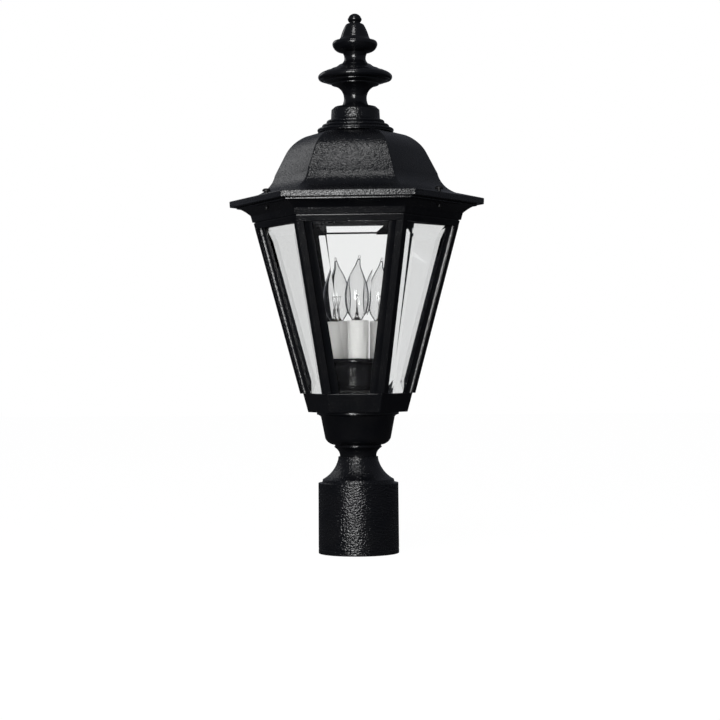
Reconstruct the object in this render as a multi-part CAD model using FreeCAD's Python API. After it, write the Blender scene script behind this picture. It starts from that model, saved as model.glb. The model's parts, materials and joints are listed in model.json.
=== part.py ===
import FreeCAD, Part
import math
import os

V = FreeCAD.Vector

# Post top lantern. Millimetres, +Z up, origin at the centre of the collar's foot.
# The hexagonal parts have corners on +X and -X, and a face to the front, towards -Y.
# Sizes of hexagonal parts named *_radius run from the axis to a corner.

# Post fitter, over a 3 in round post
post_radius = 38.1
post_clearance = 0.5
collar_wall = 4.8
collar_height = 75.8
collar_draft = 0.3
groove_height = 4.6
groove_width = 1.0
socket_depth = 70.0
shoulder_step = 4.0
shoulder_height = 3.8
flare_height = 22.2
flare_hollow = 3.1
flare_top_radius = 21.5
flare_lip = 2.2
fitter_web = 6.0
fitter_shell = 4.5

# Cup between the fitter and the cage
cup_neck_radius = 19.7
cup_neck_height = 9.0
cup_bead_radius = 25.9
cup_bead_height = 3.6
cup_bowl_radius = 35.4
cup_bowl_height = 7.2
cup_wall_height = 23.0
cup_rim_swell = 4.4
cup_rim_height = 5.0
cup_draft = 4.4
cup_shell = 3.5
cup_floor = 7.0

# Cage: base ring, six corner posts and the frieze
cage_foot_radius = 62.3
cage_head_radius = 110.0
cage_height = 178.4
ring_height = 20.2
ring_setback = 3.0
ring_lip = 2.0
ring_floor = 4.0
ring_pocket_radius = 38.0
ridge_leg = 7.0
ridge_step = 4.5
flange_reach = 15.0
flange_thickness = 2.5
lower_band = 6.0
band_groove = 1.0
band_groove_depth = 1.1
upper_band = 7.1
upper_band_proud = 1.4
cove_height = 7.4
cove_hollow = 0.5
cove_reach = 11.8
lip_reach = 3.3
lip_height = 1.8
ledge_drop = 7.7
mouth_radius = 96.0

# Bevelled glass panes and their clips
glass_thickness = 3.2
glass_edge = 1.3
glass_bevel = 12.7
glass_clearance = 0.2
glass_side_gap = 1.5
glass_overlap = 8.0
groove_depth = 2.2
clip_width = 8.0
clip_gauge = 0.8
clip_foot = 5.0
clip_height = 12.0
clip_spacing = 62.0

# Roof
eave_radius = 138.0
fascia_height = 6.7
fascia_draft = 0.4
brim_radius = 108.0
brim_rise = 6.3
flare_end_radius = 88.3
flare_rise = 20.8
flare_roof_hollow = 3.4
slope_rise = 22.6
slope_run = 11.8
shoulder_rise = 19.4
shoulder_run = 22.4
cap_rise = 3.3
cap_radius = 41.0
roof_wall = 3.2
roof_land = 6.0

# Roof screws
roof_screw_circle = 105.0
roof_screw_radius = 2.0
roof_screw_tip = 2.2
screw_head_radius = 4.5
screw_head_height = 3.5
screw_boss_radius = 5.4
screw_boss_proud = 0.6
screw_clearance = 0.3

# Crown and finial
crown_bead = 5.2
crown_step_radius = 31.0
crown_step_height = 6.0
crown_fillet = 1.5
crown_draft = 0.6
crown_drum_radius = 26.5
crown_drum_height = 12.0
crown_chamfer_height = 3.0
crown_top_radius = 20.5
crown_shell = 5.0
finial_foot_radius = 17.0
finial_neck_hollow = 3.4
finial_neck_height = 19.0
finial_neck_top_radius = 14.7
saucer_radius = 39.8
saucer_under_height = 14.0
saucer_rim_height = 4.5
saucer_top_height = 12.0
saucer_step = 1.2
ledge_count = 2
upper_neck_radius = 14.5
upper_neck_height = 12.0
upper_neck_hollow = 3.0
disc_radius = 24.3
disc_under_height = 6.5
disc_rim_height = 4.0
disc_top_height = 6.0
bell_radius = 14.6
bell_height = 13.2
bell_top_radius = 9.5
bell_swell = 1.0
knop_neck_radius = 5.6
knop_radius = 7.6
knop_height = 12.6
knop_swell = 0.6
stud_radius = 3.1
stud_fit = 0.05
stud_in_finial = 18.0
nut_flats = 10.0
nut_height = 4.0
washer_radius = 7.5
washer_gauge = 1.2

# Set screws in the collar
set_screw_radius = 3.1
set_screw_height = 38.0
set_screw_retreat = 0.3
set_screw_head_flats = 8.0
set_screw_head_height = 3.4
set_screw_gap = 1.4

# Threaded nipple that draws fitter, cup, ring and cluster together
nipple_radius = 5.1
nipple_bore = 3.6
nipple_clearance = 0.3
locknut_flats = 19.0
locknut_height = 4.0

# Lamp cluster
cluster_foot_radius = 34.0
cluster_foot_height = 8.0
cluster_bead = 1.6
cluster_bead_height = 3.6
cluster_radius = 35.6
cluster_wall_height = 17.4
cluster_shoulder = 2.6
cluster_shoulder_height = 5.7
cluster_gauge = 1.5
cover_height = 4.8
cover_chamfer = 1.0
lamp_circle = 23.5
lamp_turn = 4.0
front = -90
sleeve_radius = 10.4
sleeve_wall = 1.0
sleeve_height = 40.6
socket_radius = 8.4
socket_stem_radius = 4.6
socket_stem_height = 12.0
socket_top_gap = 1.0
socket_floor = 3.0
base_radius = 5.95
base_fit = 0.08
base_height = 20.0
shell_gauge = 0.5
contact_radius = 2.6
contact_height = 1.6
neck_seat = 1.6

# Flame bulbs
bulb_radius = 12.4
bulb_neck_radius = 5.4
neck_height = 3.0
bulb_belly = 24.5
bulb_neck_swell = 2.6
bulb_shoulder = 22.5
bulb_shoulder_radius = 8.4
bulb_shoulder_swell = 1.4
bulb_taper = 9.5
bulb_tip_root = 4.2
bulb_tip_radius = 1.3
bulb_tip_length = 10.4
bulb_tip_lean = 3.2
bulb_turns = (90, 0, 0)
bulb_glass = 0.7
stem_radius = 2.6
stem_height = 15.0
lead_radius = 0.35
lead_spread = 4.4
lead_height = 10.0
filament_radius = 0.45

lamp_count = 3
side_count = 6

# Heights that follow from the stack of parts
cos30 = math.cos(math.radians(30))
collar_radius = post_radius + post_clearance + collar_wall
bore_radius = post_radius + post_clearance
cup_z = collar_height + shoulder_height + flare_height + flare_lip
cup_height = cup_neck_height + cup_bead_height + cup_bowl_height + cup_wall_height + cup_rim_height
ring_z = cup_z + cup_height
cage_z = ring_z + ring_height
floor_z = cage_z - ring_lip
frieze_z = cage_z + cage_height
frieze_height = lower_band + band_groove + upper_band + cove_height + lip_height
roof_z = frieze_z + frieze_height
crown_z = (roof_z + fascia_height + brim_rise + flare_rise + slope_rise + shoulder_rise + cap_rise)
finial_z = crown_z + crown_bead + crown_step_height + crown_drum_height + crown_chamfer_height
cage_slope = (cage_head_radius - cage_foot_radius) / cage_height
frame_depth = ridge_step + flange_thickness
glass_depth = frame_depth + glass_clearance


# An outline in the XZ plane: radius and height, by straight and curved runs.
# Across is 1 for a turned part, and takes a corner radius to the flats on a hexagonal one.
class Outline:
    def __init__(self, radius, height, across=1.0):
        self.across = across
        self.radius = radius
        self.height = height
        self.edges = []

    def point(self, radius, height):
        return V(radius * self.across, 0, height)

    def moved(self, radius, height):
        self.radius = radius
        self.height = height
        return self

    def line(self, radius, height):
        start = self.point(self.radius, self.height)
        self.edges.append(Part.makeLine(start, self.point(radius, height)))
        return self.moved(radius, height)

    def up(self, rise, run=0.0):
        return self.line(self.radius + run, self.height + rise)

    # A curved run swells outwards by the given height of arc, or hollows where it is negative.
    def curve(self, radius, height, swell):
        start = self.point(self.radius, self.height)
        end = self.point(radius, height)
        along = end - start
        side = V(along.z, 0, -along.x).normalize()
        middle = (start + end) * 0.5 + side * swell
        self.edges.append(Part.Arc(start, middle, end).toShape())
        return self.moved(radius, height)

    def curve_up(self, rise, run, swell):
        return self.curve(self.radius + run, self.height + rise, swell)

    # Leaves the last point in the direction of the given slope, and bends evenly to the next.
    def bend_from(self, rise, run, slope_rise, slope_run):
        turn = math.atan2(rise, run * self.across) - math.atan2(slope_rise, slope_run * self.across)
        swell = 0.5 * math.hypot(rise, run * self.across) * math.tan(0.5 * turn)
        return self.curve_up(rise, run, swell)

    # Round top that closes on the axis.
    def dome(self, rise):
        chord = math.hypot(self.radius, rise)
        ball = chord * chord / (2 * rise)
        return self.curve_up(rise, -self.radius, ball - math.sqrt(ball * ball - chord * chord / 4))

    def face(self, edges):
        return Part.Face(Part.Wire(Part.__sortEdges__(edges)))

    # Full turn about the axis; the outline starts and ends on the axis.
    def turned(self):
        foot = self.edges[0].Vertexes[0].Point
        if abs(foot.z - self.height) > 1e-6:
            self.line(0, foot.z)
        return self.face(self.edges).revolve(V(0, 0, 0), V(0, 0, 1), 360)

    # Hexagonal body: three bars with this outline on both sides, crossed at 60 degrees.
    def hexed(self):
        reach = 2 * max(edge.BoundBox.XMax for edge in self.edges)
        other = [edge.mirror(V(0, 0, 0), V(1, 0, 0)) for edge in self.edges]
        bar = self.face(self.edges + other).extrude(V(0, 2 * reach, 0))
        bar.translate(V(0, -reach, 0))
        bars = [placed(bar, angle) for angle in (30, 90, 150)]
        return bars[0].common(bars[1]).common(bars[2])


def cylinder(radius, height, base_z, x=0.0, y=0.0):
    return Part.makeCylinder(radius, height, V(x, y, base_z))


def hex_prism(flats, height, base_z):
    corner = flats / 2 / cos30
    corners = [V(corner * math.cos(math.radians(60 * i)), corner * math.sin(math.radians(60 * i)), base_z)
               for i in range(side_count + 1)]
    return Part.Face(Part.makePolygon(corners)).extrude(V(0, 0, height))


# Hexagonal plug between two heights, by corner radii.
def hex_plug(low_radius, low_z, high_radius, high_z):
    plug = Outline(0, low_z, cos30).line(low_radius, low_z).line(high_radius, high_z)
    return plug.line(0, high_z).hexed()


def placed(shape, angle):
    copy = shape.copy()
    copy.rotate(V(0, 0, 0), V(0, 0, 1), angle)
    return copy


def save(name, shape):
    solids = shape.Solids
    body = solids[0] if len(solids) == 1 else Part.makeCompound(solids)
    body.exportStep("parts/" + name + ".step")


def nipple_hole(low_z, high_z):
    return cylinder(nipple_radius + nipple_clearance, high_z - low_z, low_z)


# Collar and flare in one casting, with the post's socket below and a web for the nipple on top.
def post_fitter():
    outer = Outline(0, 0).line(collar_radius, 0).up(groove_height)
    outer.up(groove_width / 2, -groove_width / 2).up(groove_width / 2, groove_width / 2)
    outer.line(collar_radius - collar_draft, collar_height)
    outer.up(0, -shoulder_step)
    outer.up(shoulder_height, -shoulder_height / 5)
    outer.curve_up(flare_height, flare_top_radius - outer.radius, -flare_hollow)
    outer.up(flare_lip)
    body = outer.line(0, cup_z).turned()
    passage = flare_top_radius - fitter_shell
    inner = Outline(0, 0).line(bore_radius, 0).line(bore_radius, socket_depth)
    inner.up(0, -shoulder_step)
    inner.up(collar_height - socket_depth)
    inner.line(passage, cup_z - fitter_web)
    hollow = inner.line(0, cup_z - fitter_web).turned()
    body = body.cut(hollow).cut(nipple_hole(cup_z - 2 * fitter_web, cup_z + fitter_web))
    for angle in set_screw_angles():
        hole = cylinder(set_screw_radius + screw_clearance, 2 * collar_radius, 0)
        hole.rotate(V(0, 0, 0), V(0, 1, 0), 90)
        hole.translate(V(0, 0, set_screw_height))
        body = body.cut(placed(hole, angle))
    return body


def set_screw_angles():
    return [90 - 60, 90 + 60]


# Hex headed screw; its point stands a little back from the socket's wall.
def set_screw(angle):
    point = bore_radius + set_screw_retreat
    head = collar_radius + set_screw_gap
    shape = cylinder(set_screw_radius, head - point, point)
    shape = shape.fuse(hex_prism(set_screw_head_flats, set_screw_head_height, head))
    shape.rotate(V(0, 0, 0), V(0, 1, 0), 90)
    shape.translate(V(0, 0, set_screw_height))
    return placed(shape.removeSplitter(), angle)


# Turned-looking cup casting that widens from the neck to the underside of the ring.
def cage_cup():
    outer = Outline(0, cup_z).line(cup_neck_radius, cup_z)
    outer.up(cup_neck_height / 4)
    bead_root = cup_bead_radius - cup_bead_height / 2
    outer.line(bead_root, cup_z + cup_neck_height)
    outer.up(cup_bead_height / 2, cup_bead_height / 2)
    outer.up(0, -cup_bead_height / 4)
    outer.up(cup_bead_height / 2)
    outer.curve_up(cup_bowl_height, cup_bowl_radius - outer.radius, cup_bowl_height / 4)
    outer.up(cup_wall_height, cup_draft)
    outer.curve_up(cup_rim_height / 2, cup_rim_swell, -cup_rim_height / 8)
    outer.up(cup_rim_height / 2)
    body = outer.line(0, ring_z).turned()
    pocket_z = cup_z + cup_neck_height + cup_bead_height + cup_floor
    inner = Outline(0, pocket_z).line(cup_bowl_radius - cup_shell, pocket_z)
    inner.line(cup_bowl_radius + cup_draft - cup_shell, ring_z - cup_rim_height)
    inner.up(cup_rim_height)
    return body.cut(inner.line(0, ring_z).turned()).cut(nipple_hole(cup_z, ring_z))


# Hexagonal ring with a floor on top, a groove that takes the panes' lower edges, and a round pocket below.
def base_ring():
    top_radius = cage_foot_radius - ring_setback
    body = hex_plug(top_radius - cage_slope * ring_height, ring_z, top_radius, cage_z)
    seat_radius = cage_foot_radius - frame_depth / cos30
    body = body.cut(hex_plug(seat_radius, floor_z, seat_radius, cage_z))
    groove_z = floor_z - groove_depth
    lean = cage_slope * (cage_z - groove_z)
    inside = seat_radius - lean - (glass_thickness * glass_slant() + 3 * glass_clearance) / cos30
    groove = hex_plug(seat_radius, groove_z, seat_radius, floor_z)
    body = body.cut(groove.cut(hex_plug(inside, groove_z, inside, floor_z)))
    body = body.cut(cylinder(ring_pocket_radius, floor_z - ring_floor - ring_z, ring_z))
    return body.cut(nipple_hole(ring_z, cage_z))


# Leaning corner post: a sharp outer ridge with two flanges that overlap the panes.
def corner_post(angle):
    points = [V(0, 0, 0)]
    for leg, depth in ((ridge_leg, 0), (ridge_leg, ridge_step), (flange_reach, ridge_step),
                       (flange_reach, frame_depth)):
        points.append(V(-leg / 2 - depth * cos30, leg * cos30 - depth / 2, 0))
    points.append(V(-frame_depth / cos30, 0, 0))
    points += [V(p.x, -p.y, 0) for p in reversed(points[1:-1])]
    section = Part.Face(Part.makePolygon(points + [points[0]]))
    section.translate(V(cage_foot_radius, 0, cage_z))
    post = section.extrude(V(cage_slope * cage_height, 0, cage_height))
    return placed(post, angle)


# Frieze in two bands under a coved cornice, with a ledge round the mouth.
def top_frame():
    outer = Outline(0, frieze_z, cos30).line(cage_head_radius, frieze_z)
    outer.up(lower_band, cage_slope * lower_band)
    outer.up(0, -band_groove_depth)
    outer.up(band_groove)
    outer.up(0, band_groove_depth + upper_band_proud)
    outer.up(upper_band, cage_slope * upper_band)
    outer.curve_up(cove_height, cove_reach, -cove_hollow)
    outer.up(0, lip_reach)
    outer.up(lip_height)
    body = outer.line(0, roof_z).hexed()
    seat_radius = cage_head_radius - frame_depth / cos30
    ledge_z = roof_z - ledge_drop
    body = body.cut(hex_plug(seat_radius, frieze_z, seat_radius + cage_slope * (ledge_z - frieze_z), ledge_z))
    body = body.cut(hex_plug(mouth_radius, ledge_z, mouth_radius, roof_z))
    for angle in roof_screw_angles():
        hole = cylinder(roof_screw_radius + screw_clearance, frieze_height, frieze_z, roof_screw_circle)
        body = body.cut(placed(hole, angle))
    return body


def roof_screw_angles():
    return [-150, -30, 90]


# Bevelled pane for the front face, leaning with the posts. Local X runs along the face, local Y up it.
def glass_pane(angle):
    lean = glass_lean()
    slant = glass_slant()
    low_z = floor_z - groove_depth + glass_thickness * math.sin(lean) + glass_clearance
    high_z = frieze_z + glass_overlap
    low_half = half_width_at(low_z)
    high_half = half_width_at(high_z)
    tall = (high_z - low_z) * slant

    def frame(inset, depth):
        side = inset / math.cos(math.atan((high_half - low_half) / tall))
        low = low_half - side + (high_half - low_half) * inset / tall
        high = high_half - side - (high_half - low_half) * inset / tall
        corners = [V(-low, inset, depth), V(low, inset, depth),
                   V(high, tall - inset, depth), V(-high, tall - inset, depth)]
        return Part.makePolygon(corners + [corners[0]])

    bevel = glass_thickness - glass_edge
    pane = Part.makeLoft([frame(0, 0), frame(0, glass_edge), frame(glass_bevel, glass_edge + bevel)], True, True)
    pane.rotate(V(0, 0, 0), V(1, 0, 0), 90 + math.degrees(lean))
    front = (cage_foot_radius - cage_slope * (cage_z - low_z)) * cos30 - glass_depth
    pane.translate(V(0, -front + glass_thickness * slant, low_z))
    return placed(pane, angle)


def glass_lean():
    return math.atan(cage_slope * cos30)


def glass_slant():
    return 1 / math.cos(glass_lean())


# Half the width of a pane at a height, short of the posts' inner corners.
def half_width_at(z):
    corner = cage_foot_radius + cage_slope * (z - cage_z) - (glass_depth + glass_thickness) / cos30
    return corner / 2 - glass_side_gap


# Bent strips behind each pane's upper edge, two to a side, hung from the ledge.
def glass_clips():
    lean = glass_lean()
    ledge_z = roof_z - ledge_drop
    clips = []
    for side in range(side_count):
        for along in (-clip_spacing / 2, clip_spacing / 2):
            back = (cage_foot_radius + cage_slope * (ledge_z - cage_z)) * cos30 - glass_depth
            back -= glass_thickness * glass_slant() + glass_clearance
            foot = Part.makeBox(clip_width, clip_foot, clip_gauge, V(-clip_width / 2, 0, -clip_gauge))
            leaf = Part.makeBox(clip_width, clip_gauge, clip_height - clip_gauge / 2,
                                V(-clip_width / 2, 0, -clip_height))
            leaf.rotate(V(0, 0, 0), V(1, 0, 0), math.degrees(lean))
            clip = foot.fuse(leaf).removeSplitter()
            clip.translate(V(along, -back, ledge_z))
            clips.append(placed(clip, 60 * side))
    return Part.makeCompound(clips)


# Outer form of the roof: fascia, brim, hollow flare, straight slope and round shoulder.
def roof_form():
    shape = Outline(0, roof_z, cos30).line(eave_radius - fascia_draft, roof_z)
    shape.line(eave_radius, roof_z + fascia_height)
    shape.line(brim_radius, roof_z + fascia_height + brim_rise)
    shape.curve_up(flare_rise, flare_end_radius - brim_radius, -flare_roof_hollow)
    shape.up(slope_rise, -slope_run)
    shape.bend_from(shoulder_rise, -shoulder_run, slope_rise, -slope_run)
    shape.line(cap_radius, crown_z)
    return shape.line(0, crown_z).hexed()


def roof():
    body = roof_form().cut(roof_cavity())
    for angle in roof_screw_angles():
        boss = cylinder(screw_boss_radius, screw_seat_z() - roof_z - fascia_height, roof_z + fascia_height,
                        roof_screw_circle)
        hole = cylinder(roof_screw_radius + screw_clearance, screw_seat_z() - roof_z, roof_z, roof_screw_circle)
        body = body.fuse(placed(boss, angle)).cut(placed(hole, angle))
    hole = cylinder(stud_radius + screw_clearance, 2 * roof_wall, crown_z - 2 * roof_wall)
    return body.cut(hole).removeSplitter()


# Inside of the roof, one wall behind its outer form, and closed off from the brim by the land.
def roof_cavity():
    wall_run = roof_wall / cos30
    land_radius = brim_radius + roof_land
    inner = Outline(0, roof_z, cos30).line(land_radius, roof_z)
    inner.line(land_radius, brim_z(land_radius) - roof_wall)
    inner.line(brim_radius - wall_run / 2, brim_z(brim_radius) - roof_wall)
    inner.curve_up(flare_rise + roof_wall / 2, flare_end_radius - brim_radius - wall_run / 2,
                   -flare_roof_hollow)
    inner.up(slope_rise, -slope_run)
    inner.bend_from(shoulder_rise - roof_wall / 2, wall_run / 3 - shoulder_run, slope_rise, -slope_run)
    inner.line(cap_radius, crown_z - roof_wall)
    return inner.line(0, crown_z - roof_wall).hexed()


# Height of the brim's sloping top at a corner radius.
def brim_z(radius):
    return roof_z + fascia_height + brim_rise * (eave_radius - radius) / (eave_radius - brim_radius)


# Flat top of the screw bosses, above the sloping brim.
def screw_seat_z():
    return brim_z((roof_screw_circle - screw_boss_radius) / cos30) + screw_boss_proud


# Height of the cornice's underside where a roof screw comes through.
def cornice_z():
    cove_foot = cage_head_radius + cage_slope * (lower_band + upper_band) + upper_band_proud
    share = (roof_screw_circle / cos30 - cove_foot) / cove_reach
    return roof_z - lip_height - cove_height * (1 - share)


# Domed head on a plain shank that passes the brim and the cornice and shows its tip below.
def roof_screw(angle):
    tip_z = cornice_z() - roof_screw_tip
    outline = Outline(0, tip_z).line(roof_screw_radius, tip_z).line(roof_screw_radius, screw_seat_z()).line(screw_head_radius, screw_seat_z())
    outline.up(screw_head_height / 3)
    screw = outline.dome(screw_head_height * 2 / 3).turned()
    screw.translate(V(roof_screw_circle, 0, 0))
    return placed(screw, angle)


# Cast cap with two beads and a short drum, hollow underneath.
def crown_cap():
    outer = Outline(0, crown_z).line(cap_radius, crown_z)
    outer.curve_up(crown_bead * 0.75, -crown_bead / 2, crown_bead / 8)
    outer.up(crown_bead / 4, crown_step_radius + crown_fillet - outer.radius)
    outer.up(crown_step_height / 4, -crown_fillet)
    outer.curve_up(crown_step_height / 2, -crown_step_height / 4, crown_step_height / 12)
    outer.line(crown_drum_radius, crown_z + crown_bead + crown_step_height)
    outer.up(crown_drum_height, -crown_draft)
    outer.line(crown_top_radius, finial_z)
    body = outer.line(0, finial_z).turned()
    roof_of_pocket = finial_z - 2 * crown_shell
    inner = Outline(0, crown_z).line(cap_radius - crown_shell, crown_z)
    inner.line(crown_top_radius - crown_shell / 2, roof_of_pocket)
    body = body.cut(inner.line(0, roof_of_pocket).turned())
    return body.cut(cylinder(stud_radius + screw_clearance, finial_z - crown_z, crown_z))


# Turned finial: neck, stepped saucer, second neck, disc, bell and knop.
def finial():
    shape = Outline(0, finial_z).line(finial_foot_radius, finial_z)
    shape.curve_up(finial_neck_height, finial_neck_top_radius - finial_foot_radius, -finial_neck_hollow)
    ledge_run = (saucer_radius - finial_neck_top_radius) / (ledge_count + 1)
    ledge_rise = (saucer_under_height - ledge_count * saucer_step) / (ledge_count + 1)
    for i in range(ledge_count):
        shape.up(ledge_rise, ledge_run)
        shape.up(saucer_step)
    shape.up(ledge_rise, ledge_run)
    shape.curve_up(saucer_rim_height, -saucer_rim_height / 2, saucer_rim_height / 6)
    top_run = (upper_neck_radius - shape.radius) / ledge_count
    top_rise = (saucer_top_height - ledge_count * saucer_step) / ledge_count
    for i in range(ledge_count):
        shape.up(top_rise, top_run)
        shape.up(saucer_step)
    shape.curve_up(upper_neck_height, 0, -upper_neck_hollow)
    shape.up(disc_under_height, disc_radius - upper_neck_radius)
    shape.curve_up(disc_rim_height, -disc_rim_height / 3, disc_rim_height / 6)
    shape.up(disc_top_height, bell_radius - shape.radius)
    shape.curve_up(bell_height, bell_top_radius - bell_radius, bell_swell)
    shape.up(0, knop_neck_radius - bell_top_radius)
    shape.up(saucer_step)
    shape.curve_up(knop_height - saucer_step - knop_radius, knop_radius - knop_neck_radius, knop_swell)
    body = shape.dome(knop_radius).turned()
    return body.cut(cylinder(stud_radius + stud_fit, stud_in_finial + stud_radius, finial_z))


def stud_foot_z():
    return crown_z - roof_wall - washer_gauge - 2 * nut_height


def finial_stud():
    low = stud_foot_z()
    return cylinder(stud_radius, finial_z + stud_in_finial - low, low)


def stud_washer():
    low = crown_z - roof_wall - washer_gauge
    return cylinder(washer_radius, washer_gauge, low).cut(cylinder(stud_radius, washer_gauge, low))


def stud_nut():
    low = crown_z - roof_wall - washer_gauge - nut_height
    return hex_prism(nut_flats, nut_height, low).cut(cylinder(stud_radius, nut_height, low))


# Tube through the whole stack; one locknut under the fitter's web and one in the cluster.
def nipple_low_z():
    return cup_z - fitter_web - 2 * locknut_height


def nipple_high_z():
    return floor_z + cluster_gauge + 2 * locknut_height


def center_nipple():
    low = nipple_low_z()
    height = nipple_high_z() - low
    return cylinder(nipple_radius, height, low).cut(cylinder(nipple_bore, height, low))


def locknut(low):
    return hex_prism(locknut_flats, locknut_height, low).cut(cylinder(nipple_radius, locknut_height, low))


# Spun cup that holds the wiring under the lamps.
def cluster_wall():
    shape = Outline(0, floor_z).line(cluster_foot_radius, floor_z).up(cluster_foot_height)
    shape.up(cluster_bead_height / 2, cluster_bead)
    shape.up(cluster_bead_height / 2, cluster_radius - cluster_foot_radius - cluster_bead)
    shape.up(cluster_wall_height)
    shape.curve_up(cluster_shoulder_height, cluster_shoulder, -cluster_shoulder / 4)
    return shape


def cover_z():
    return floor_z + cluster_foot_height + cluster_bead_height + cluster_wall_height + cluster_shoulder_height


def cluster_cup():
    body = cluster_wall().line(0, cover_z()).turned()
    room = cluster_radius - cluster_gauge
    inner = Outline(0, floor_z + cluster_gauge).line(cluster_foot_radius - cluster_gauge, floor_z + cluster_gauge)
    inner.up(cluster_foot_height).line(room, inner.height + cluster_bead_height).line(room, cover_z())
    hollow = inner.line(0, cover_z()).turned()
    return body.cut(hollow).cut(nipple_hole(floor_z, floor_z + 2 * cluster_gauge))


# Lid of the cluster, with a hole under each lamp for its leads.
def cluster_cover():
    radius = cluster_radius + cluster_shoulder
    shape = Outline(0, cover_z()).line(radius, cover_z())
    shape.up(cover_height - cover_chamfer)
    shape.up(cover_chamfer, -cover_chamfer)
    body = shape.line(0, cover_z() + cover_height).turned()
    pocket = cylinder(radius - 3 * cluster_gauge, cover_height - 2 * cluster_gauge, cover_z())
    body = body.cut(pocket)
    for angle in lamp_angles():
        hole = cylinder(nipple_bore, cover_height, cover_z(), lamp_circle)
        body = body.cut(placed(hole, angle))
    return body


def lamp_angles():
    return [front + lamp_turn + 360 / lamp_count * i for i in range(lamp_count)]


# Places a lamp's part, modelled on the axis, over its hole in the cover; a bulb is turned about itself.
def at_lamp(shape, angle, turn=0):
    moved = placed(shape, turn)
    moved.translate(V(lamp_circle, 0, cover_z() + cover_height))
    return placed(moved, angle)


def candle_sleeve():
    return cylinder(sleeve_radius, sleeve_height, 0).cut(
        cylinder(sleeve_radius - sleeve_wall, sleeve_height, 0))


def socket_top():
    return sleeve_height - socket_top_gap


def shell_outer():
    return base_radius + base_fit + shell_gauge


def shell_low():
    return socket_top() - base_height + contact_height


# Lamp socket on its stem, bored for the brass shell.
def lamp_socket():
    shape = Outline(0, 0).line(socket_stem_radius, 0).line(socket_stem_radius, socket_stem_height)
    body = shape.line(socket_radius, socket_stem_height).line(socket_radius, socket_top()).line(
        0, socket_top()).turned()
    low = shell_low() - socket_floor
    return body.cut(cylinder(shell_outer(), socket_top() - low, low))


def socket_shell():
    low = shell_low()
    height = socket_top() - low
    return cylinder(shell_outer(), height, low).cut(cylinder(base_radius + base_fit, height, low))


# Brass lamp base: centre contact and screw body round the bulb's neck.
def bulb_base():
    low = socket_top() - base_height
    shape = Outline(0, low).line(contact_radius, low).up(contact_height)
    shape.line(base_radius, shape.height).line(base_radius, bulb_neck_z() + neck_seat)
    neck = cylinder(bulb_neck_radius, neck_seat, bulb_neck_z())
    return shape.line(0, shape.height).turned().cut(neck)


def bulb_neck_z():
    return socket_top() + screw_clearance


# Flame bulb: straight neck, belly, shoulders, and a tip that leans to one side.
def bulb_envelope():
    low = bulb_neck_z()
    shape = Outline(0, low).line(bulb_neck_radius, low).up(neck_height)
    shape.curve_up(bulb_belly, bulb_radius - bulb_neck_radius, bulb_neck_swell)
    shape.curve_up(bulb_shoulder, bulb_shoulder_radius - bulb_radius, bulb_shoulder_swell)
    shape.up(bulb_taper, bulb_tip_root - bulb_shoulder_radius)
    tip = Part.makeCone(bulb_tip_root, bulb_tip_radius, math.hypot(bulb_tip_length, bulb_tip_lean),
                        V(0, 0, shape.height), V(bulb_tip_lean, 0, bulb_tip_length))
    body = shape.line(0, shape.height + bulb_tip_root).turned().fuse(tip)
    room = Outline(0, low + bulb_glass).line(bulb_neck_radius - bulb_glass, low + bulb_glass).up(neck_height)
    room.line(bulb_radius - bulb_glass, low + neck_height + 0.7 * bulb_belly).up(0.3 * bulb_belly)
    room.up(bulb_shoulder, bulb_shoulder_radius - bulb_radius).line(bulb_glass, room.height + bulb_taper)
    return body.cut(room.line(0, room.height).turned())


# Glass stem that carries the filament's supports.
def bulb_stem():
    low = bulb_neck_z() + bulb_glass
    shape = Outline(0, low).line(bulb_neck_radius - 2 * bulb_glass, low)
    shape.line(stem_radius, low + stem_height / 3).line(stem_radius, low + stem_height)
    return shape.line(0, low + stem_height).turned()


# Two lead wires out of the stem, with the filament across their tips.
def filament():
    low = bulb_neck_z() + bulb_glass + stem_height
    leads = hex_prism(2 * lead_radius, lead_height, low)
    parts = [leads.translated(V(0, side * lead_spread / 2, 0)) for side in (-1, 1)]
    bar = hex_prism(2 * filament_radius, lead_spread + 2 * filament_radius, -filament_radius)
    bar.rotate(V(0, 0, 0), V(1, 0, 0), 90)
    bar.translate(V(0, -lead_spread / 2, low + lead_height))
    return parts[0].fuse(parts[1]).fuse(bar).removeSplitter()


def main():
    os.makedirs("parts", exist_ok=True)
    save("post_fitter", post_fitter())
    for i, angle in enumerate(set_screw_angles()):
        save("set_screw_%d" % (i + 1), set_screw(angle))
    save("cage_cup", cage_cup())
    save("base_ring", base_ring())
    for i in range(side_count):
        save("corner_post_%d" % (i + 1), corner_post(-120 + 60 * i))
        save("glass_pane_%d" % (i + 1), glass_pane(60 * i))
    save("top_frame", top_frame())
    save("glass_clips", glass_clips())
    save("roof", roof())
    for i, angle in enumerate(roof_screw_angles()):
        save("roof_screw_%d" % (i + 1), roof_screw(angle))
    save("crown_cap", crown_cap())
    save("finial", finial())
    save("finial_stud", finial_stud())
    save("stud_washer", stud_washer())
    save("stud_nut", stud_nut())
    save("center_nipple", center_nipple())
    save("lower_locknut", locknut(cup_z - fitter_web - locknut_height))
    save("upper_locknut", locknut(floor_z + cluster_gauge))
    save("cluster_cup", cluster_cup())
    save("cluster_cover", cluster_cover())
    for i, angle in enumerate(lamp_angles()):
        number = "_%d" % (i + 1)
        turn = bulb_turns[i % len(bulb_turns)]
        save("candle_sleeve" + number, at_lamp(candle_sleeve(), angle))
        save("lamp_socket" + number, at_lamp(lamp_socket(), angle))
        save("socket_shell" + number, at_lamp(socket_shell(), angle))
        save("bulb_base" + number, at_lamp(bulb_base(), angle, turn))
        save("bulb_glass" + number, at_lamp(bulb_envelope(), angle, turn))
        save("bulb_stem" + number, at_lamp(bulb_stem(), angle, turn))
        save("filament" + number, at_lamp(filament(), angle, turn))


main()
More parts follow.
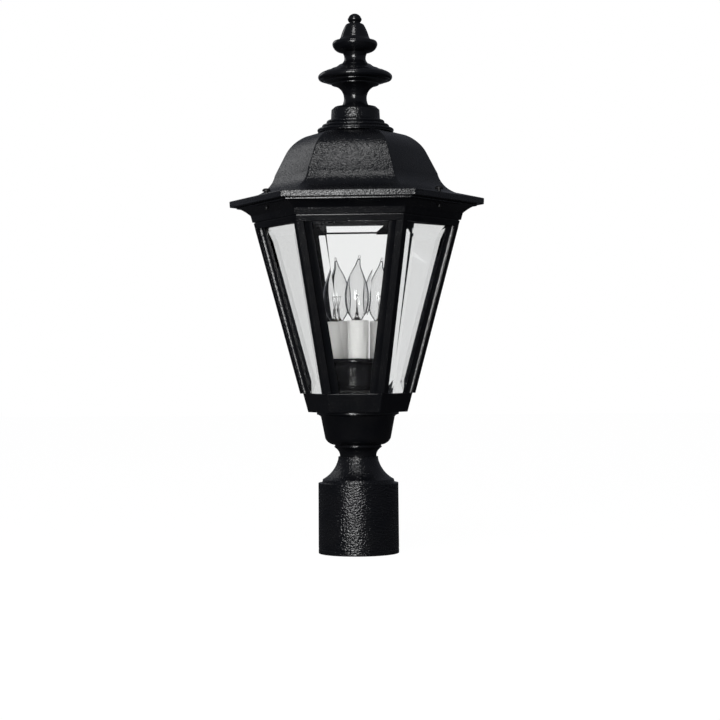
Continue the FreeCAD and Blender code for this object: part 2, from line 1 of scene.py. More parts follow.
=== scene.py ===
import json
import math
import bmesh
import bpy
from mathutils import Matrix, Vector


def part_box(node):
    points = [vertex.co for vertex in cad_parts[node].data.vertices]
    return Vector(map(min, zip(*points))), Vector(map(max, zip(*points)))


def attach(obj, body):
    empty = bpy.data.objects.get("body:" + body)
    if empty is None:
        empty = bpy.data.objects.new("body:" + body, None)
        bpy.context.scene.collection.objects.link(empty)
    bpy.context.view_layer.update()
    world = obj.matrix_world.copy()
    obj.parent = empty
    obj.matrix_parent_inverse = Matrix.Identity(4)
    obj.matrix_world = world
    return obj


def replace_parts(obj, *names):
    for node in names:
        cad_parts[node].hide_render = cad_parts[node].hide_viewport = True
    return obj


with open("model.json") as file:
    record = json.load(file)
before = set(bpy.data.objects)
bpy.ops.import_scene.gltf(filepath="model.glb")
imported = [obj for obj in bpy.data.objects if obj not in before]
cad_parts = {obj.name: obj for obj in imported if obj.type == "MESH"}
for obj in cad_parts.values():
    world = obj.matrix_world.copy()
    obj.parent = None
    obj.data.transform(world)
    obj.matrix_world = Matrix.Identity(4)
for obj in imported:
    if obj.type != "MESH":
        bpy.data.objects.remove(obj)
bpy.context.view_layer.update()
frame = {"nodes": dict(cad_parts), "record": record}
nodes = frame["nodes"]
mm = 0.001
print("frame loaded:", len(nodes), "nodes")

bodyOf = {}
for bodyName, members in frame["record"]["behaviour"]["bodies"].items():
    for member in members:
        bodyOf[member] = bodyName


class Signal:
    # a socket of a material's tree; arithmetic on it adds Math nodes
    def __init__(self, finish, socket):
        self.finish = finish
        self.socket = socket

    def math(self, operation, first, second=0.0):
        return self.finish.node("Math", {"operation": operation}, {0: first, 1: second})

    def __add__(self, other):
        return self.math("ADD", self, other)

    def __radd__(self, other):
        return self.math("ADD", other, self)

    def __sub__(self, other):
        return self.math("SUBTRACT", self, other)

    def __mul__(self, other):
        return self.math("MULTIPLY", self, other)

    def clamp(self):
        return self.finish.node("Clamp", {}, {0: self})


class Finish:
    # the node tree of a material, or of another owner such as the world
    def __init__(self, name, owner=None):
        self.owner = owner or bpy.data.materials.new(name)
        self.owner.use_nodes = True
        self.tree = self.owner.node_tree
        self.tree.nodes.clear()
        if not owner:
            self.place = self.node("TexCoord", output="Object")

    def node(self, kind, settings=None, inputs=None, output=0):
        made = self.tree.nodes.new("ShaderNode" + kind)
        for key, value in (settings or {}).items():
            if key == "stops":
                ramp = made.color_ramp.elements
                while len(ramp) < len(value):
                    ramp.new(0.5)
                for element, (position, shade) in zip(ramp, value):
                    element.position = position
                    element.color = (shade, shade, shade, 1)
            else:
                setattr(made, key, value)
        for key, value in (inputs or {}).items():
            if isinstance(value, Signal):
                self.tree.links.new(value.socket, made.inputs[key])
            else:
                made.inputs[key].default_value = value
        return Signal(self, made.outputs[output]) if made.outputs else None

    def noise(self, scale, detail=2.0):
        return self.node("TexNoise", {}, {"Vector": self.place, "Scale": scale, "Detail": detail})

    def cells(self, scale, feature="SMOOTH_F1"):
        inputs = {"Vector": self.place, "Scale": scale}
        return self.node("TexVoronoi", {"feature": feature}, inputs, "Distance")

    def steps(self, value, *stops):
        return self.node("ValToRGB", {"stops": stops}, {0: value})

    def blend(self, factor, first, second):
        return self.node("Mix", {"data_type": "RGBA"}, {0: factor, 6: first, 7: second}, 2)

    def bump(self, height, distance, strength=1.0):
        return self.node("Bump", {}, {"Height": height, "Distance": distance, "Strength": strength})

    def surface(self, **sockets):
        inputs = {key.replace("_", " "): value for key, value in sockets.items()}
        return self.finish(self.node("BsdfPrincipled", {}, inputs))

    def finish(self, shader):
        self.node("OutputMaterial", {}, {"Surface": shader})
        return self.owner


def rgb(red, green, blue):
    return (red, green, blue, 1.0)


powderCoat = {
    "colour": rgb(0.0036, 0.0040, 0.0054),
    "dust": rgb(0.0085, 0.0085, 0.009),
    "grainScale": 560,      # pebbles of the coat, per metre
    "waveScale": 130,
    "patchScale": 0.35,     # share of the waves' scale
    "pebbleHeight": 0.35,
    "grainHeight": 0.7,
    "waveHeight": 0.02,
    "relief": 0.0009,
    "roughness": 0.06,
    "grainRoughness": 0.3,
    "patchRoughness": 0.04,
    "dustShare": 0.6,
    "specular": 0.45,
}


def makePowderCoat(name="powderCoat", relief=1.0, roughness=0.0, fineness=1.0):
    coat = Finish(name)
    sizes = powderCoat
    pebbles = coat.cells(sizes["grainScale"] * fineness)
    grain = coat.noise(sizes["grainScale"] * fineness, 1.0)
    wave = coat.noise(sizes["waveScale"], 2.0)
    height = pebbles * sizes["pebbleHeight"] + grain * sizes["grainHeight"] + wave * sizes["waveHeight"]
    patch = coat.steps(coat.noise(sizes["waveScale"] * sizes["patchScale"], 4.0), (0.42, 0.0), (0.75, 1.0))
    colour = coat.blend(patch * sizes["dustShare"], sizes["colour"], sizes["dust"])
    rough = sizes["roughness"] + roughness + grain * sizes["grainRoughness"] + patch * sizes["patchRoughness"]
    return coat.surface(Base_Color=colour, Roughness=rough, Specular_IOR_Level=sizes["specular"],
                        Normal=coat.bump(height, sizes["relief"] * relief, 1.0))


def makeGlossBlack():
    paint = Finish("clusterEnamel")
    run = paint.noise(60, 2.0)
    speck = paint.noise(900, 2.0)
    colour = paint.blend(run * 0.4, rgb(0.006, 0.006, 0.007), rgb(0.012, 0.012, 0.013))
    return paint.surface(Base_Color=colour, Roughness=0.1 + run * 0.08, Specular_IOR_Level=0.1,
                         Normal=paint.bump(run + speck * 0.15, 0.00012, 0.5))


def makeScrewBlack():
    oxide = Finish("screwOxide")
    wear = oxide.noise(700, 4.0)
    bare = oxide.steps(wear, (0.5, 0.0), (0.72, 1.0))
    colour = oxide.blend(bare, rgb(0.012, 0.012, 0.013), rgb(0.05, 0.048, 0.045))
    return oxide.surface(Base_Color=colour, Roughness=0.3 + wear * 0.2, Metallic=0.6,
                         Normal=oxide.bump(wear, 0.00008))


def makeSteel(name, dark, light, roughness, scale=420):
    steel = Finish(name)
    spangle = steel.cells(scale, "F1")
    fine = steel.noise(scale * 4, 3.0)
    colour = steel.blend(spangle * 1.4, dark, light)
    return steel.surface(Base_Color=colour, Metallic=1.0, Roughness=roughness + fine * 0.18,
                         Normal=steel.bump(fine, 0.00004))


def makeClearGlass():
    glass = Finish("bevelledGlass")
    wave = glass.noise(9, 1.0)
    return glass.surface(Base_Color=rgb(0.985, 0.99, 0.988), Roughness=0.0, IOR=1.5,
                         Transmission_Weight=1.0, Specular_IOR_Level=0.1,
                         Normal=glass.bump(wave, 0.0003, 0.2))


def makeBulbGlass():
    glass = Finish("bulbGlass")
    wave = glass.noise(70, 1.0)
    return glass.surface(Base_Color=rgb(0.95, 0.95, 0.95), Roughness=0.0, IOR=1.48,
                         Transmission_Weight=1.0, Normal=glass.bump(wave, 0.0002, 0.15))


def makeSleeveWhite():
    sleeve = Finish("sleeveWhite")
    mottle = sleeve.noise(55, 3.0)
    fibre = sleeve.noise(1400, 2.0)
    colour = sleeve.blend(mottle, rgb(0.94, 0.93, 0.91), rgb(0.97, 0.96, 0.94))
    return sleeve.surface(Base_Color=colour, Roughness=0.55 + mottle * 0.12, Specular_IOR_Level=0.3,
                          Normal=sleeve.bump(mottle * 0.6 + fibre * 0.3, 0.0001, 0.5))


def makePhenolic():
    plastic = Finish("socketPhenolic")
    swirl = plastic.noise(240, 4.0)
    colour = plastic.blend(swirl, rgb(0.012, 0.011, 0.010), rgb(0.03, 0.027, 0.024))
    return plastic.surface(Base_Color=colour, Roughness=0.32 + swirl * 0.15,
                           Normal=plastic.bump(swirl, 0.00006))


finishes = {
    "black_paint": makePowderCoat(),
    "cluster_black": makeGlossBlack(),
    "black_screw": makeScrewBlack(),
    "spring_steel": makeSteel("springSteel", rgb(0.05, 0.05, 0.055), rgb(0.13, 0.13, 0.14), 0.34),
    "zinc_steel": makeSteel("zincSteel", rgb(0.36, 0.36, 0.37), rgb(0.62, 0.62, 0.63), 0.3),
    "brass": makeSteel("brass", rgb(0.55, 0.40, 0.16), rgb(0.78, 0.60, 0.28), 0.22, 900),
    "clear_glass": makeClearGlass(),
    "bulb_clear": makeBulbGlass(),
    "sleeve_white": makeSleeveWhite(),
    "phenolic_black": makePhenolic(),
    "filament_wire": makeSteel("filamentWire", rgb(0.10, 0.10, 0.10), rgb(0.24, 0.23, 0.22), 0.35, 1500),
}
castCoat = makePowderCoat("castCoat", 0.62, 0.0, 1.15)
frameCoat = makePowderCoat("frameCoat", 0.28, -0.03, 1.3)
smoothCoat = makePowderCoat("smoothCoat", 0.22, -0.04)
print("finishes made:", len(finishes))

slotOf = {part["node"]: part["material_slot"] for part in frame["record"]["subparts"]}

for name, node in nodes.items():
    node.data.materials.clear()
    node.data.materials.append(finishes[slotOf[name]])


def newPiece(name, mesh, node, finish=None):
    # a piece with the body and the slot of the node that it takes the place of
    piece = bpy.data.objects.new(name, mesh)
    bpy.context.scene.collection.objects.link(piece)
    mesh.materials.clear()
    mesh.materials.append(finish or finishes[slotOf[node]])
    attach(piece, bodyOf[node])
    return piece


def smoothByAngle(mesh, angle):
    mesh.shade_smooth()
    mesh.set_sharp_from_angle(angle=math.radians(angle))


def meshFrom(name, shape):
    mesh = bpy.data.meshes.new(name)
    shape.to_mesh(mesh)
    shape.free()
    return mesh


def joined(name, *meshes):
    shape = bmesh.new()
    for mesh in meshes:
        shape.from_mesh(mesh)
    return meshFrom(name, shape)


def cleaned(node):
    # a CAD node's own form without doubled points or seams across flat faces
    shape = bmesh.new()
    shape.from_mesh(nodes[node].data)
    bmesh.ops.remove_doubles(shape, verts=shape.verts, dist=0.00002)
    bmesh.ops.dissolve_limit(shape, angle_limit=math.radians(1.0), verts=shape.verts, edges=shape.edges)
    return shape


def finished(name, mesh, node, edge, crease, finish=None):
    # shaded smooth up to the crease angle, its sharper edges eased by a width in millimetres
    smoothByAngle(mesh, crease)
    piece = newPiece(name, mesh, node, finish)
    if edge:
        ease = piece.modifiers.new("ease", "BEVEL")
        ease.width = edge * mm
        ease.segments = 2
        ease.limit_method = "ANGLE"
        ease.angle_limit = math.radians(crease)
        ease.harden_normals = True
    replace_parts(piece, node)


def dressed(name, node, edge, crease=32, finish=None):
    # a CAD node's own form with its edges eased, as a casting or a moulding has them
    finished(name, meshFrom(name, cleaned(node)), node, edge, crease, finish)


studio = {
    "distance": 1.95,
    "height": 0.197,
    "azimuth": 4.0,
    "roll": -0.46,
    "lens": 90.4,
    "shiftX": 2.5 / 720,
    "shiftY": 10 / 720,
    "ambient": rgb(0.098, 0.103, 0.120),
    "floor": 6.0,
    "lamps": {
        "keyLamp": {"place": (-0.45, -2.35, 0.56), "aim": (0, 0, 0.3), "size": (0.85, 0.9), "power": 38},
        "roofLamp": {"place": (-0.2, -1.25, 2.2), "aim": (0, -0.05, 0.42), "size": (0.6, 0.6), "power": 9},
        "leftLamp": {"place": (-1.5, 1.45, 1.35), "aim": (0, 0, 0.4), "size": (0.9, 0.9), "power": 2.2},
    },
}


def makeCamera():
    azimuth = math.radians(studio["azimuth"])
    spot = Vector((math.sin(azimuth), -math.cos(azimuth), 0)) * studio["distance"]
    spot.z = studio["height"]
    data = bpy.data.cameras.new("camera")
    data.lens = studio["lens"]
    data.sensor_width = 36
    data.shift_x = studio["shiftX"]
    data.shift_y = studio["shiftY"]
    camera = bpy.data.objects.new("camera", data)
    bpy.context.scene.collection.objects.link(camera)
    turn = Matrix.Rotation(azimuth, 4, "Z") @ Matrix.Rotation(math.pi / 2, 4, "X")
    roll = Matrix.Rotation(math.radians(studio["roll"]), 4, "Z")
    camera.matrix_world = Matrix.Translation(spot) @ turn @ roll
    bpy.context.scene.camera = camera


def makeWorld():
    sky = Finish("studio", bpy.data.worlds.new("studio"))
    seen = sky.node("LightPath", output="Is Camera Ray")
    through = sky.node("LightPath", output="Is Transmission Ray")
    either = sky.node("Math", {"operation": "MAXIMUM"}, {0: seen, 1: through})
    # not by way of a reflection inside a pane
    bounces = sky.node("LightPath", output="Glossy Depth")
    direct = sky.node("Math", {"operation": "LESS_THAN"}, {0: bounces, 1: 0.5})
    ambient = sky.node("Background", {}, {"Color": studio["ambient"]})
    white = sky.node("Background", {}, {"Color": rgb(1, 1, 1)})
    light = sky.node("MixShader", {}, {0: either * direct, 1: ambient, 2: white})
    sky.node("OutputWorld", {}, {"Surface": light})
    bpy.context.scene.world = sky.owner
    bpy.context.scene.view_settings.view_transform = "Standard"


def softLamp(name, place, aim, size, power):
    data = bpy.data.lights.new(name, "AREA")
    data.shape = "RECTANGLE"
    data.size, data.size_y = size
    data.energy = power
    lamp = bpy.data.objects.new(name, data)
    bpy.context.scene.collection.objects.link(lamp)
    lamp.location = place
    lamp.rotation_euler = (Vector(aim) - Vector(place)).to_track_quat("-Z", "Y").to_euler()


def makeFloor():
    size = studio["floor"]
    corners = [(-size, -size, 0), (size, -size, 0), (size, size, 0), (-size, size, 0)]
    mesh = bpy.data.meshes.new("floor")
    mesh.from_pydata(corners, [], [(0, 1, 2, 3)])
    floor = bpy.data.objects.new("floor", mesh)
    bpy.context.scene.collection.objects.link(floor)
    paper = Finish("paper")
    through = paper.node("LightPath", output="Is Transmission Ray")
    seen = paper.node("LightPath", output="Is Camera Ray")
    grain = paper.noise(300, 2.0)
    pale = paper.blend(grain, rgb(0.86, 0.86, 0.86), rgb(0.90, 0.90, 0.90))
    colour = paper.blend(seen, rgb(0.05, 0.05, 0.055), pale)
    plain = paper.node("BsdfPrincipled", {}, {"Base Color": colour, "Roughness": 0.9})
    glow = paper.node("Emission", {}, {"Color": rgb(1, 1, 1), "Strength": 1.04})
    bounces = paper.node("LightPath", output="Glossy Depth")
    direct = paper.node("Math", {"operation": "LESS_THAN"}, {0: bounces, 1: 0.5})
    shade = paper.node("MixShader", {}, {0: (through + seen).clamp() * direct * 0.95, 1: plain, 2: glow})
    mesh.materials.append(paper.finish(shade))


makeCamera()
makeWorld()
makeFloor()
for name, values in studio["lamps"].items():
    softLamp(name, **values)
print("studio ready")


class Profile:
    def __init__(self, radius, height, across=1.0):
        self.points = [(radius, height)]
        self.across = across        # a hexagonal part's outline is measured to its corners

    @property
    def radius(self):
        return self.points[-1][0]

    @property
    def height(self):
        return self.points[-1][1]

    def to(self, radius, height):
        self.points.append((radius, height))
        return self

    def up(self, rise, run=0.0):
        return self.to(self.radius + run, self.height + rise)

    def curve(self, rise, run, swell, steps=10):
        # arc of a circle through a point that stands off the chord by the swell
        start = Vector((self.radius * self.across, self.height))
        chord = Vector((run * self.across, rise))
        side = Vector((chord.y, -chord.x)).normalized()
        half = chord.length / 2
        ball = (half * half + swell * swell) / (2 * abs(swell))
        centre = start + chord / 2 + side * math.copysign(1, swell) * (abs(swell) - ball)
        first = start - centre
        turn = first.angle_signed(start + chord - centre)
        for i in range(1, steps + 1):
            spot = centre + Matrix.Rotation(-turn * i / steps, 2) @ first
            self.points.append((spot.x / self.across, spot.y))
        self.points[-1] = (start.x / self.across + run, start.y + rise)
        return self

    def dome(self, rise, steps=8):
        chord = math.hypot(self.radius, rise)
        ball = chord * chord / (2 * rise)
        return self.curve(rise, -self.radius, ball - math.sqrt(ball * ball - chord * chord / 4), steps)


def skinned(name, rings, closed):
    # quads between rings of equal count; a closed stack joins its last ring to its first
    shape = bmesh.new()
    rows = [[shape.verts.new(Vector(spot) * mm) for spot in ring] for ring in rings]
    pairs = list(zip(rows, rows[1:])) + ([(rows[-1], rows[0])] if closed else [])
    count = len(rows[0])
    for low, high in pairs:
        for i in range(count):
            j = (i + 1) % count
            shape.faces.new((low[i], low[j], high[j], high[i]))
    if not closed:
        for row in (rows[0], rows[-1]):
            shape.faces.new(row)
    bmesh.ops.remove_doubles(shape, verts=shape.verts, dist=0.000002)
    bmesh.ops.dissolve_degenerate(shape, dist=0.000001, edges=shape.edges)
    bmesh.ops.recalc_face_normals(shape, faces=shape.faces)
    return meshFrom(name, shape)


def roundRing(radius, height, count=112, x=0.0, y=0.0):
    angles = [2 * math.pi * i / count for i in range(count)]
    return [(x + radius * math.cos(angle), y + radius * math.sin(angle), height) for angle in angles]


def hexRing(radius, height, fillet, steps=4):
    # hexagon by its corner radius, with its corners rounded a little
    cos30 = math.cos(math.pi / 6)
    fillet = min(fillet, radius * 0.4)
    ring = []
    for corner in range(6):
        middle = math.radians(60 * corner)
        reach = radius - fillet / cos30
        for i in range(steps + 1):
            angle = middle + math.radians(60) * (i / steps - 0.5)
            ring.append((reach * math.cos(middle) + fillet * math.cos(angle),
                         reach * math.sin(middle) + fillet * math.sin(angle), height))
    return ring


tip = 0.01              # radius of the ring that stands for a point on the axis
crease = 28


def turned(name, profile, node, edge, closed=False, count=112, finish=None):
    x, y = middle(node)
    rings = [roundRing(max(radius, tip), height, count, x, y) for radius, height in profile.points]
    finished(name, skinned(name, rings, closed), node, edge, crease, finish)


def hexed(name, profile, node, sizes, finish):
    rings = [hexRing(radius, height, sizes["fillet"]) for radius, height in profile.points]
    finished(name, skinned(name, rings, True), node, sizes["edge"], crease, finish)


def nodeBox(node):
    low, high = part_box(node)
    return low / mm, high / mm


def middle(node):
    low, high = nodeBox(node)
    return (low.x + high.x) / 2, (low.y + high.y) / 2


class Growth:
    # one geometry tree: the shape given to it goes in, named values steer it
    def __init__(self, name, values):
        self.tree = bpy.data.node_groups.new(name, "GeometryNodeTree")
        face = self.tree.interface
        face.new_socket("Geometry", in_out="INPUT", socket_type="NodeSocketGeometry")
        for label, kind in values:
            face.new_socket(label, in_out="INPUT", socket_type="NodeSocket" + kind)
        face.new_socket("Geometry", in_out="OUTPUT", socket_type="NodeSocketGeometry")
        self.given = self.tree.nodes.new("NodeGroupInput").outputs

    def node(self, kind, settings=None, inputs=None, output=0):
        made = self.tree.nodes.new(kind)
        for key, value in (settings or {}).items():
            setattr(made, key, value)
        for key, value in (inputs or {}).items():
            if isinstance(value, bpy.types.NodeSocket):
                self.tree.links.new(value, made.inputs[key])
            else:
                made.inputs[key].default_value = value
        return made.outputs[output] if made.outputs else None

    def swept(self, path, section):
        return self.node("GeometryNodeCurveToMesh", {},
                         {"Curve": path, "Profile Curve": section, "Fill Caps": True})

    def around(self, shape):
        # copies of the shape, evenly turned about the upright axis
        given = self.given
        single = self.node("GeometryNodeGeometryToInstance", {}, {0: shape})
        copies = self.tree.nodes.new("GeometryNodeDuplicateElements")
        copies.domain = "INSTANCE"
        self.tree.links.new(single, copies.inputs["Geometry"])
        self.tree.links.new(given["Count"], copies.inputs["Amount"])
        index = copies.outputs["Duplicate Index"]
        step = self.node("ShaderNodeMath", {"operation": "DIVIDE"}, {0: math.tau, 1: given["Count"]})
        turn = self.node("ShaderNodeMath", {"operation": "MULTIPLY"}, {0: index, 1: step})
        spin = self.node("ShaderNodeCombineXYZ", {}, {"Z": turn})
        return self.node("GeometryNodeRotateInstances", {},
                         {"Instances": copies.outputs["Geometry"], "Rotation": spin, "Local Space": False})

    def grown(self, shape):
        real = self.node("GeometryNodeRealizeInstances", {}, {0: shape})
        painted = self.node("GeometryNodeSetMaterial", {},
                            {"Geometry": real, "Material": self.given["Material"]})
        self.node("NodeGroupOutput", {}, {0: painted})
        return self.tree


def makeSweptTree(name, section, inputs, smooth=False):
    # a section swept along each line of edges, repeated round the axis
    growth = Growth(name, [*inputs.values(), ("Count", "Int"), ("Material", "Material")])
    given = growth.given
    outline = growth.node("GeometryNodeCurvePrimitive" + section, {},
                          {key: given[label] for key, (label, kind) in inputs.items()})
    path = growth.node("GeometryNodeMeshToCurve", {}, {"Mesh": given["Geometry"]})
    shape = growth.swept(path, outline)
    if smooth:
        shape = growth.node("GeometryNodeSetShadeSmooth", {}, {0: shape})
    return growth.grown(growth.around(shape))


def makeThreadTree():
    # the given core with a helical ridge wound on it
    growth = Growth("threadTurns", (("Radius", "Float"), ("Height", "Float"), ("Foot", "Float"),
                                    ("Turns", "Float"), ("Ridge", "Float"), ("Material", "Material")))
    given = growth.given
    coil = growth.node("GeometryNodeCurveSpiral", {},
                       {"Resolution": 28, "Rotations": given["Turns"], "Height": given["Height"],
                        "Start Radius": given["Radius"], "End Radius": given["Radius"]})
    section = growth.node("GeometryNodeCurvePrimitiveCircle", {}, {"Resolution": 6, "Radius": given["Ridge"]})
    ridge = growth.swept(coil, section)
    lift = growth.node("ShaderNodeCombineXYZ", {}, {"Z": given["Foot"]})
    raised = growth.node("GeometryNodeTransform", {}, {"Geometry": ridge, "Translation": lift})
    smooth = growth.node("GeometryNodeSetShadeSmooth", {}, {0: raised})
    both = growth.tree.nodes.new("GeometryNodeJoinGeometry")
    growth.tree.links.new(smooth, both.inputs[0])
    growth.tree.links.new(given["Geometry"], both.inputs[0])
    return growth.grown(both.outputs[0])


flatSection = {"Width": ("Width", "Float"), "Height": ("Gauge", "Float")}
roundSection = {"Resolution": ("Sides", "Int"), "Radius": ("Radius", "Float")}
trees = {
    "strip": makeSweptTree("stripsAround", "Quadrilateral", flatSection),
    "wire": makeSweptTree("wiresAround", "Circle", roundSection, True),
    "thread": makeThreadTree(),
}


def growMesh(node, mesh, tree, **values):
    # what the tree makes of the mesh, kept as a plain mesh
    values["Material"] = finishes[slotOf[node]]
    maker = bpy.data.objects.new(node + "Maker", mesh)
    bpy.context.scene.collection.objects.link(maker)
    step = maker.modifiers.new("grow", "NODES")
    step.node_group = trees[tree]
    for item in trees[tree].interface.items_tree:
        if item.in_out == "INPUT" and item.name in values:
            step[item.identifier] = values[item.name]
    bpy.context.view_layer.update()
    graph = bpy.context.evaluated_depsgraph_get()
    made = bpy.data.meshes.new_from_object(maker.evaluated_get(graph), depsgraph=graph)
    bpy.data.objects.remove(maker)
    return made


def lineMesh(name, *lines):
    mesh = bpy.data.meshes.new(name)
    points = [tuple(Vector(spot) * mm) for line in lines for spot in line]
    edges = []
    start = 0
    for line in lines:
        edges += [(start + i, start + i + 1) for i in range(len(line) - 1)]
        start += len(line)
    mesh.from_pydata(points, edges, [])
    return mesh


def threaded(node, core, sizes, root, foot, rise, closed=False):
    # the core turned, with a thread wound on it from the foot up
    rings = [roundRing(max(radius, tip), height, sizes["sides"]) for radius, height in core.points]
    mesh = skinned(node, rings, closed)
    smoothByAngle(mesh, sizes["crease"])
    return growMesh(node, mesh, "thread", Radius=root * mm, Height=rise * mm, Foot=foot * mm,
                    Turns=sizes["turns"], Ridge=sizes["ridge"] * mm)


def place(mesh, x, y, angle=0.0):
    shift = Matrix.Translation(Vector((x, y, 0)) * mm)
    mesh.transform(shift @ Matrix.Rotation(math.radians(angle), 4, "Z"))
    return mesh


print("node trees ready:", len(trees))


nippleRoom = 5.4        # half of the castings' bore round the nipple

finial = {
    "seatDepth": 18.0, "knopDome": 3.9, "edge": 0.3,
    # rise, radius at the end, swell and steps of each run, from the foot up
    "runs": (
        (0, 17.0, 0, 0), (1.6, 17.0, 0, 0), (0, 15.4, 0, 0),  # foot
        (17.3, 14.7, -2.75, 22),  # neck
        (6.5, 25.5, -1.3, 10), (1.0, 25.5, 0, 0), (2.3, 33.0, -0.35, 6),  # under the saucer
        (0.9, 33.0, 0, 0), (0.9, 38.4, -0.7, 8), (6.2, 38.4, 1.6, 14),  # its rim
        (2.6, 33.4, 0.35, 6), (0, 33.0, 0, 0), (0.4, 33.0, 0, 0),  # rings on it
        (2.4, 26.4, -0.2, 6), (0, 26.0, 0, 0), (0.4, 26.0, 0, 0),
        (4.0, 17.9, -0.6, 6), (0, 17.5, 0, 0), (0.4, 17.5, 0, 0),
        (6.9, 11.5, -1.6, 12), (6.2, 13.4, -0.5, 8),  # upper neck
        (1.1, 17.6, 0, 0), (6.4, 24.0, 1.2, 10), (4.9, 22.8, 0.8, 10),  # disc
        (4.3, 15.4, -1.2, 10), (13.3, 9.9, 0.5, 12),  # bell
        (1.7, 5.8, 0.5, 6), (1.2, 5.8, 0, 0), (3.4, 7.55, 0.5, 8),  # knop
        (1.7, 6.3, 0.3, 6), (0.4, 6.6, 0, 0),
    ),
}


def makeFinial():
    shape = Profile(0, nodeBox("finial_stud")[1].z - finial["seatDepth"])
    for rise, radius, swell, steps in finial["runs"]:
        if steps:
            shape.curve(rise, radius - shape.radius, swell, steps)
        else:
            shape.to(radius, shape.height + rise)
    shape.dome(finial["knopDome"], 12)
    turned("finialTurning", shape, "finial", finial["edge"], finish=smoothCoat)


crown = {
    # radius, rise and inner radius of each bead
    "beads": ((40.6, 3.2, 36.4), (35.6, 3.2, 31.6), (30.6, 3.6, 26.8)),
    "beadLean": 4, "beadSwell": 3.2, "foot": 1.0, "cove": 1.0, "coveHollow": 0.35,
    "drumRadius": 26.5, "drumTop": 25.9, "drumRise": 10.4, "topRadius": 22.4, "topRise": 3.2, "edge": 0.4,
}


def makeCrown():
    low = nodeBox("roof")[1].z
    shape = Profile(0, low).to(crown["beads"][0][0], low).up(crown["foot"])
    for radius, rise, inner in crown["beads"]:
        shape.to(radius, shape.height)
        shape.curve(rise, -rise / crown["beadLean"], rise / crown["beadSwell"], 10)
        shape.curve(crown["cove"], inner - shape.radius, -crown["coveHollow"], 5)
    shape.to(crown["drumRadius"], shape.height)
    shape.up(crown["drumRise"], crown["drumTop"] - crown["drumRadius"])
    shape.up(crown["topRise"], crown["topRadius"] - crown["drumTop"])
    shape.to(0, shape.height)
    turned("crownCasting", shape, "crown_cap", crown["edge"], finish=castCoat)


cupSizes = {
    "neckRadius": 19.7, "neckRise": 9.0, "neckHollow": 0.7, "beadRadius": 25.9, "beadRise": 3.6,
    "beadSwell": 0.2, "bowlRadius": 35.4, "bowlRise": 7.2, "wallRise": 23.0, "draft": 4.4, "rimSwell": 4.4,
    "rimRise": 5.0, "rimHollow": 0.6, "wall": 3.5, "floor": 7.0, "edge": 0.45,
}


def makeCup():
    sizes = cupSizes
    low = nodeBox("cage_cup")[0].z
    shape = Profile(nippleRoom, low).to(sizes["neckRadius"], low)
    shape.up(sizes["neckRise"] / 4)
    beadFoot = sizes["beadRadius"] - sizes["beadRise"] / 2
    shape.curve(sizes["neckRise"] * 0.75, beadFoot - shape.radius, -sizes["neckHollow"], 8)
    shape.curve(sizes["beadRise"] / 2, sizes["beadRise"] / 2, sizes["beadSwell"], 8)
    shape.up(0, -sizes["beadRise"] / 4)
    shape.up(sizes["beadRise"] / 2)
    shape.curve(sizes["bowlRise"], sizes["bowlRadius"] - shape.radius, sizes["bowlRise"] / 4, 12)
    shape.up(sizes["wallRise"], sizes["draft"])
    shape.curve(sizes["rimRise"] / 2, sizes["rimSwell"], -sizes["rimHollow"], 8)
    shape.up(sizes["rimRise"] / 2)
    shape.to(sizes["bowlRadius"] + sizes["draft"] - sizes["wall"], shape.height)
    shape.up(-sizes["rimRise"])
    pocket = low + sizes["neckRise"] + sizes["beadRise"] + sizes["floor"]
    shape.to(sizes["bowlRadius"] - sizes["wall"], pocket)
    shape.to(nippleRoom, pocket)
    turned("cupCasting", shape, "cage_cup", sizes["edge"], closed=True, finish=smoothCoat)


fitterSizes = {
    "radius": 43.4, "height": 75.8, "draft": 0.3, "bore": 38.6, "socket": 70.0, "step": 4.0,
    "shoulder": 3.8, "flareRise": 22.2, "flareHollow": 3.1, "flareTop": 21.5, "lip": 2.2, "web": 6.0,
    "wall": 4.5, "grooveHeight": 4.6, "groove": 1.0, "edge": 0.5,
}


def makeFitter():
    sizes = fitterSizes
    top = nodeBox("cage_cup")[0].z
    shape = Profile(sizes["bore"], 0).to(sizes["radius"], 0)
    shape.up(sizes["grooveHeight"])
    shape.up(sizes["groove"] / 2, -sizes["groove"] / 2)
    shape.up(sizes["groove"] / 2, sizes["groove"] / 2)
    shape.to(sizes["radius"] - sizes["draft"], sizes["height"])
    shape.up(0, -sizes["step"])
    shape.up(sizes["shoulder"], -sizes["shoulder"] / 5)
    shape.curve(sizes["flareRise"], sizes["flareTop"] - shape.radius, -sizes["flareHollow"], 20)
    shape.up(sizes["lip"])
    shape.to(nippleRoom, shape.height)
    shape.to(nippleRoom, top - sizes["web"])
    shape.to(sizes["flareTop"] - sizes["wall"], top - sizes["web"])
    shape.to(sizes["bore"] - sizes["step"], sizes["height"])
    shape.to(sizes["bore"] - sizes["step"], sizes["socket"])
    shape.to(sizes["bore"], sizes["socket"])
    turned("fitterCasting", shape, "post_fitter", sizes["edge"], closed=True)


roofSizes = {
    "eave": 138.0, "fasciaDraft": 0.4, "fascia": 6.7, "brim": 108.0, "brimRise": 6.3,
    "flareEnd": 88.3, "flareRise": 20.8, "flareHollow": 3.4, "slopeRise": 22.6, "slopeRun": 11.8,
    "shoulderRise": 19.4, "shoulderRun": 22.4, "capRise": 3.3, "cap": 41.0, "wall": 3.2, "land": 6.0,
    "studRoom": 4.0, "shoulderIn": 8, "shoulderDown": 1, "slopeIn": 1.5, "flareIn": 1,
    "fillet": 1.6, "edge": 0.8,
}


